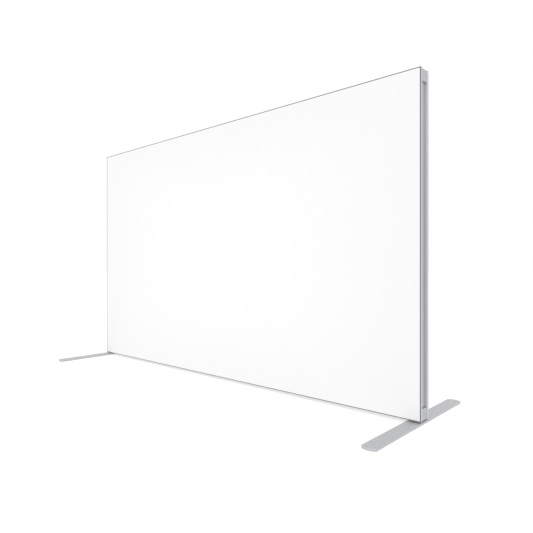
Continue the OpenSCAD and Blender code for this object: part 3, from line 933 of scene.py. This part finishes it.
def circle_points(x, y, radius):
    """Points round a circle, one for every hole step."""
    turns = [2 * math.pi * k / HOLE_STEPS for k in range(HOLE_STEPS)]
    return [(x + radius * math.cos(t), y + radius * math.sin(t)) for t in turns]


# %% Foot mesh
def ring(work, points, z):
    """Adds a closed loop of points at one height and returns its edges and points."""
    verts = [work.verts.new((x, y, z)) for x, y in points]
    edges = [work.edges.new((verts[k - 1], verts[k])) for k in range(len(verts))]
    return verts, edges


def wall_between(work, lower, upper):
    """Joins two loops that have the same number of points by a band of faces."""
    count = len(lower)
    for k in range(count):
        work.faces.new((lower[k - 1], lower[k], upper[k], upper[k - 1]))


def foot_mesh(node_name):
    low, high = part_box(node_name)
    middle = (low.x + high.x) / 2
    work = bmesh.new()
    outline = foot_outline(low, high)
    hole = circle_points(middle, 0, BOLT_HOLE)
    recess = circle_points(middle, 0, RECESS)
    outer_low, outer_low_edges = ring(work, outline, low.z)
    outer_high, outer_high_edges = ring(work, outline, high.z)
    hole_high, hole_high_edges = ring(work, hole, high.z)
    hole_low, _ = ring(work, hole, low.z + RECESS_DEPTH)
    recess_high, _ = ring(work, recess, low.z + RECESS_DEPTH)
    recess_low, recess_low_edges = ring(work, recess, low.z)
    wall_between(work, outer_low, outer_high)
    wall_between(work, hole_high, hole_low)
    wall_between(work, hole_low, recess_high)
    wall_between(work, recess_high, recess_low)
    for loop in (outer_low_edges + recess_low_edges, outer_high_edges + hole_high_edges):
        bmesh.ops.triangle_fill(work, edges=loop, use_beauty=True)
    bmesh.ops.recalc_face_normals(work, faces=work.faces)
    mesh = bpy.data.meshes.new(node_name)
    work.to_mesh(mesh)
    work.free()
    return mesh


for side in ("left", "right"):
    node_name = side + "_foot_plate"
    body = side + "_foot"
    rough = bpy.data.objects.new(node_name + "_rough", foot_mesh(node_name))
    scene.collection.objects.link(rough)
    bevel = rough.modifiers.new("edges", "BEVEL")
    bevel.width = EDGE_ROUND
    bevel.segments = 3
    bevel.limit_method = "ANGLE"
    bevel.angle_limit = SHARP_EDGE
    done = plain_mesh(rough, node_name + "_coated")
    shade(done, 40)
    done.materials.append(finish["silver_coat"])
    foot = bpy.data.objects.new(node_name + "_coated", done)
    scene.collection.objects.link(foot)
    settle(foot, body, "silver_coat", node_name)
    softened(side + "_foot_pads", 0.6 * MM, body)
    softened(side + "_swivel_disc", 0.8 * MM)
    softened(side + "_pivot_bolt", 0.4 * MM)
    print(foot.name, "has", len(done.polygons), "faces")

# %% [markdown]
# ## Corner plates and the inlet
# These engineering pieces have the right shape already, so softened copies are enough.

# %% Softened corner plates and inlet
for corner in ("top_left", "top_right", "bottom_left", "bottom_right"):
    softened("corner_plate_" + corner, FINE_EDGE)
softened("inlet_housing", FINE_EDGE)
softened("inlet_pins", 0.3 * MM)
softened("led_driver", 1.5 * MM)
softened("post_bracket_top", FINE_EDGE)
softened("post_bracket_bottom", FINE_EDGE)

# %% [markdown]
# ## Screws and light modules
# Forty-eight screws and several hundred light modules repeat, so each is lathed once and
# Geometry Nodes put a copy on every point. A point carries the direction that its copy
# faces, and a seeded random turn keeps the screws' sockets from all lining up.

# %% The scatter tree
def scatter_tree():
    tree = bpy.data.node_groups.new("fasteners_on_points", "GeometryNodeTree")
    sockets = tree.interface
    sockets.new_socket("Points", in_out="INPUT", socket_type="NodeSocketGeometry")
    sockets.new_socket("Piece", in_out="INPUT", socket_type="NodeSocketObject")
    sockets.new_socket("Most turn", in_out="INPUT", socket_type="NodeSocketFloat")
    sockets.new_socket("Seed", in_out="INPUT", socket_type="NodeSocketInt")
    sockets.new_socket("Finish", in_out="INPUT", socket_type="NodeSocketMaterial")
    sockets.new_socket("Pieces", in_out="OUTPUT", socket_type="NodeSocketGeometry")
    given = add(tree, "NodeGroupInput").outputs
    facing = add(tree, "GeometryNodeInputNamedAttribute", {"Name": "facing"}, data_type="FLOAT_VECTOR")
    upright = add(
        tree, "FunctionNodeAlignRotationToVector", {"Vector": facing.outputs["Attribute"]}, axis="Z"
    )
    turn = add(tree, "FunctionNodeRandomValue", data_type="FLOAT")
    for socket in turn.inputs:
        if socket.enabled and socket.name == "Max":
            tree.links.new(given["Most turn"], socket)
        if socket.enabled and socket.name == "Seed":
            tree.links.new(given["Seed"], socket)
    amount = [socket for socket in turn.outputs if socket.enabled][0]
    spin = add(tree, "ShaderNodeCombineXYZ", {"Z": amount})
    spun = add(tree, "FunctionNodeEulerToRotation", {0: spin.outputs[0]})
    turned = add(
        tree,
        "FunctionNodeRotateRotation",
        {"Rotation": upright.outputs[0], "Rotate By": spun.outputs[0]},
        rotation_space="LOCAL",
    )
    piece = add(tree, "GeometryNodeObjectInfo", {"Object": given["Piece"]})
    placed = add(
        tree,
        "GeometryNodeInstanceOnPoints",
        {
            "Points": given["Points"],
            "Instance": piece.outputs["Geometry"],
            "Rotation": turned.outputs[0],
        },
    )
    real = add(tree, "GeometryNodeRealizeInstances", {"Geometry": placed.outputs[0]})
    coated = add(tree, "GeometryNodeSetMaterial", {"Geometry": real.outputs[0], "Material": given["Finish"]})
    add(tree, "NodeGroupOutput", {"Pieces": coated.outputs[0]})
    return tree


# %% Lathed shapes
LATHE_STEPS = 24


def lathed(name, rings, steps=LATHE_STEPS):
    """A closed solid of rings (height, radius, corners): corners is 6 for a hexagon, 0 for round."""
    work = bmesh.new()
    loops = []
    for z, radius, corners in rings:
        loop = []
        for k in range(steps):
            angle = 2 * math.pi * k / steps
            size = radius
            if corners:
                part = 2 * math.pi / corners
                size = radius * math.cos(part / 2) / math.cos(angle % part - part / 2)
            loop.append(work.verts.new((size * math.cos(angle), size * math.sin(angle), z)))
        loops.append(loop)
    for lower, upper in zip(loops, loops[1:]):
        wall_between(work, lower, upper)
    work.faces.new(loops[0])
    work.faces.new(list(reversed(loops[-1])))
    bmesh.ops.recalc_face_normals(work, faces=work.faces)
    mesh = bpy.data.meshes.new(name)
    work.to_mesh(mesh)
    work.free()
    made = bpy.data.objects.new(name, mesh)
    scene.collection.objects.link(made)
    return made


def copies(name, prototype, places, spin, seed, slot_name, *nodes):
    """One piece made of a copy of the prototype at each place, which is (point, facing)."""
    mesh = bpy.data.meshes.new(name + "_points")
    mesh.from_pydata([point for point, _ in places], [], [])
    facing = mesh.attributes.new("facing", "FLOAT_VECTOR", "POINT")
    facing.data.foreach_set("vector", [value for _, direction in places for value in direction])
    values = {"Piece": prototype, "Most turn": spin, "Seed": seed, "Finish": finish[slot_name]}
    piece = grow(name, mesh, fasteners_on_points, values)
    bpy.data.objects.remove(prototype)
    print(name, "has", len(places), "copies and", len(piece.data.polygons), "faces")
    return settle(piece, "wall", slot_name, *nodes)


fasteners_on_points = scatter_tree()

# %% [markdown]
# ## Where the screws go
# The corner plates take four screws in each leg. The first pair on the end starts further
# from the corner than the first pair on the rail, so their tips pass each other. The
# splices at the middle of the rails take four at each side of the joint. Each place is
# worked out from the frame's corner.

# %% Corner and splice screws
SCREW = 3 * MM
SCREW_HEAD = 5.5 * MM
SCREW_DEPTH = 27 * MM
SCREW_ACROSS = 28 * MM
FIRST_PAIR = (38 * MM, 24 * MM)
SECOND_PAIR = (76 * MM, 76 * MM)
plate_face = half_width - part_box("corner_plate_top_right")[1].x
corner_head = [
    (-1.6 * MM, 2.4 * MM, 6),
    (-0.02 * MM, 2.6 * MM, 6),
    (0, 2.9 * MM, 6),
    (0, SCREW_HEAD - 0.3 * MM, 0),
    (-0.25 * MM, SCREW_HEAD, 0),
    (-2.5 * MM, SCREW, 0),
    (-SCREW_DEPTH + 0.5 * MM, SCREW, 0),
    (-SCREW_DEPTH, SCREW - 0.5 * MM, 0),
]
screw_places = []
for end_spot, rail_spot in (FIRST_PAIR, SECOND_PAIR):
    for y in (-SCREW_ACROSS, SCREW_ACROSS):
        for x_side in (-1, 1):
            for z_side, level in ((-1, ground_gap), (1, top_edge)):
                on_end = (x_side * (half_width - plate_face), y, level - z_side * end_spot)
                screw_places.append((on_end, (x_side, 0, 0)))
                on_rail = (x_side * (half_width - rail_spot), y, level - z_side * plate_face)
                screw_places.append((on_rail, (0, 0, z_side)))
copies(
    "corner_screws_plated",
    lathed("corner_screw", corner_head),
    screw_places,
    2 * math.pi,
    4,
    "plated_steel",
    "corner_screws",
)

# %% Splice screws
CAP_HEAD = 3.3 * MM
SPLICE_ALONG = (-95 * MM, -40 * MM, 40 * MM, 95 * MM)
SPLICE_ACROSS = 20.5 * MM
cap_head = [
    (CAP_HEAD * 0.35, 2.3 * MM, 6),
    (CAP_HEAD - 0.02 * MM, 2.5 * MM, 6),
    (CAP_HEAD, 2.8 * MM, 6),
    (CAP_HEAD, SCREW_HEAD - 0.9 * MM, 0),
    (CAP_HEAD - 0.25 * MM, SCREW_HEAD - 0.35 * MM, 0),
    (CAP_HEAD - 0.9 * MM, SCREW_HEAD, 0),
    (0, SCREW_HEAD, 0),
    (0, SCREW, 0),
    (-13 * MM, SCREW, 0),
]
splice_places = []
for x in SPLICE_ALONG:
    for y in (-SPLICE_ACROSS, SPLICE_ACROSS):
        splice_places.append(((x, y, ground_gap + CHANNEL_DEPTH), (0, 0, -1)))
        splice_places.append(((x, y, top_edge - CHANNEL_DEPTH), (0, 0, 1)))
copies(
    "splice_screws_plated",
    lathed("splice_screw", cap_head),
    splice_places,
    2 * math.pi,
    7,
    "plated_steel",
    "splice_screws",
)

# %% [markdown]
# ## Light modules
# A real light bar is a strip of small lensed diodes. The engineering model stands a plain
# strip in for them, and here a domed lens is put every eleven centimetres.

# %% Lenses on the bars
LENS_PITCH = 110 * MM
LENS_RADIUS = 6 * MM
LENS_BASE = 0.8 * MM
LENS_DOME = 3 * MM
LENS_TAPER = 0.9
DOME_STEPS = 4
BAR_WIDTH = 20 * MM
BAR_PITCH = 250 * MM
lens_low, lens_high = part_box("led_lenses")
bar_low, bar_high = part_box("led_bars")
bar_half = (bar_high.y - bar_low.y) / 2
bars_per_side = round((bar_high.x - BAR_WIDTH / 2) / BAR_PITCH + 0.5)
lens_rings = [(0, LENS_RADIUS, 0), (LENS_BASE, LENS_RADIUS, 0)]
for k in range(1, DOME_STEPS):
    rise = math.pi / 2 * k / DOME_STEPS
    height = LENS_BASE + LENS_DOME * math.sin(rise)
    lens_rings.append((height, LENS_RADIUS * LENS_TAPER * math.cos(rise), 0))
lens_count = int((lens_high.z - lens_low.z) / LENS_PITCH)
first_lens = (lens_low.z + lens_high.z - (lens_count - 1) * LENS_PITCH) / 2
lens_places = []
for column in range(-bars_per_side, bars_per_side):
    x = (column + 0.5) * BAR_PITCH
    for k in range(lens_count):
        z = first_lens + k * LENS_PITCH
        for way in (-1, 1):
            lens_places.append(((x, way * bar_half, z), (0, way, 0)))
copies("light_lenses", lathed("lens", lens_rings, 12), lens_places, 0.0, 1, "lens_plastic", "led_lenses")

# %% [markdown]
# ## Rocker
# The on-off rocker has two slanted faces with a round between them. Its marks are a plain
# bar for on and a ring for off. They ride on the rocker, so they tip with it.

# %% Rocker and its marks
ROCKER_TILT = math.radians(8)
ROCKER_RIDGE = 3.4 * MM
ROCKER_TIP = (5.2 * MM, 9.2 * MM)
MARK_AT = 0.52
MARK_THICKNESS = 0.15 * MM
MARK_SINK = 0.05 * MM
softened("power_rocker", FINE_EDGE, "rocker", segments=3)
joint = [j for j in frame["joints"] if j["child"] == "rocker"][0]
pivot = Vector(joint["pos_m"])


def mark(name, outline, holes, side):
    """A thin raised mark on the rocker's upper (1) or lower (-1) face."""
    ridge = Vector((ROCKER_RIDGE, 0))
    tip = Vector((ROCKER_TIP[0], side * ROCKER_TIP[1]))
    slope = (tip - ridge).normalized()
    outward = Vector((slope.y, -slope.x)) * side
    middle = ridge.lerp(tip, MARK_AT)
    work = bmesh.new()
    loops = [ring(work, points, 0)[1] for points in [outline, *holes]]
    edges = [edge for loop in loops for edge in loop]
    flat = bmesh.ops.triangle_fill(work, edges=edges, use_beauty=True)
    faces = [item for item in flat["geom"] if isinstance(item, bmesh.types.BMFace)]
    raised = bmesh.ops.extrude_face_region(work, geom=faces)["geom"]
    for item in raised:
        if isinstance(item, bmesh.types.BMVert):
            item.co.z += MARK_THICKNESS
    tilt = Matrix.Rotation(-ROCKER_TILT, 2)
    for vert in work.verts:
        across, along, up = vert.co
        section_place = middle + slope * along * side + outward * (up - MARK_SINK)
        turned = tilt @ section_place
        vert.co = (pivot.x - turned.x, pivot.y + across, pivot.z + turned.y)
    bmesh.ops.recalc_face_normals(work, faces=work.faces)
    mesh = bpy.data.meshes.new(name)
    work.to_mesh(mesh)
    work.free()
    mesh.materials.append(finish["white_enamel"])
    piece = bpy.data.objects.new(name, mesh)
    scene.collection.objects.link(piece)
    return settle(piece, "rocker", "white_enamel")


MARK_REACH = 1.8 * MM
MARK_HALF = 0.35 * MM
MARK_HOLE = 1.15 * MM
bar_outline = [
    (-MARK_HALF, -MARK_REACH),
    (MARK_HALF, -MARK_REACH),
    (MARK_HALF, MARK_REACH),
    (-MARK_HALF, MARK_REACH),
]
mark("rocker_mark_on", bar_outline, [], -1)
mark("rocker_mark_off", circle_points(0, 0, MARK_REACH), [circle_points(0, 0, MARK_HOLE)], 1)

# %% [markdown]
# ## Finishes for the pieces that stay
# What is left of the engineering model keeps its shape and takes a finish by the slot
# that its record names. The webs of the channel are rolled strip, so their lines follow
# the side of the frame that they lie on. The end webs are also painted a fifth darker, as
# painted shade in the channel.

# %% Finish the remaining nodes
own_finish = {
    "top_webs": rail_finish,
    "bottom_webs": rail_finish,
    # Painted shade: the end webs take the darker finish.
    "left_web": web_shade_finish,
    "right_web": web_shade_finish,
}
kept = 0
for node_name, thing in frame["nodes"].items():
    if thing.hide_render:
        continue
    thing.data.materials.clear()
    thing.data.materials.append(own_finish.get(node_name, finish[slots[node_name]]))
    kept += 1
print(kept, "engineering pieces keep their shape")
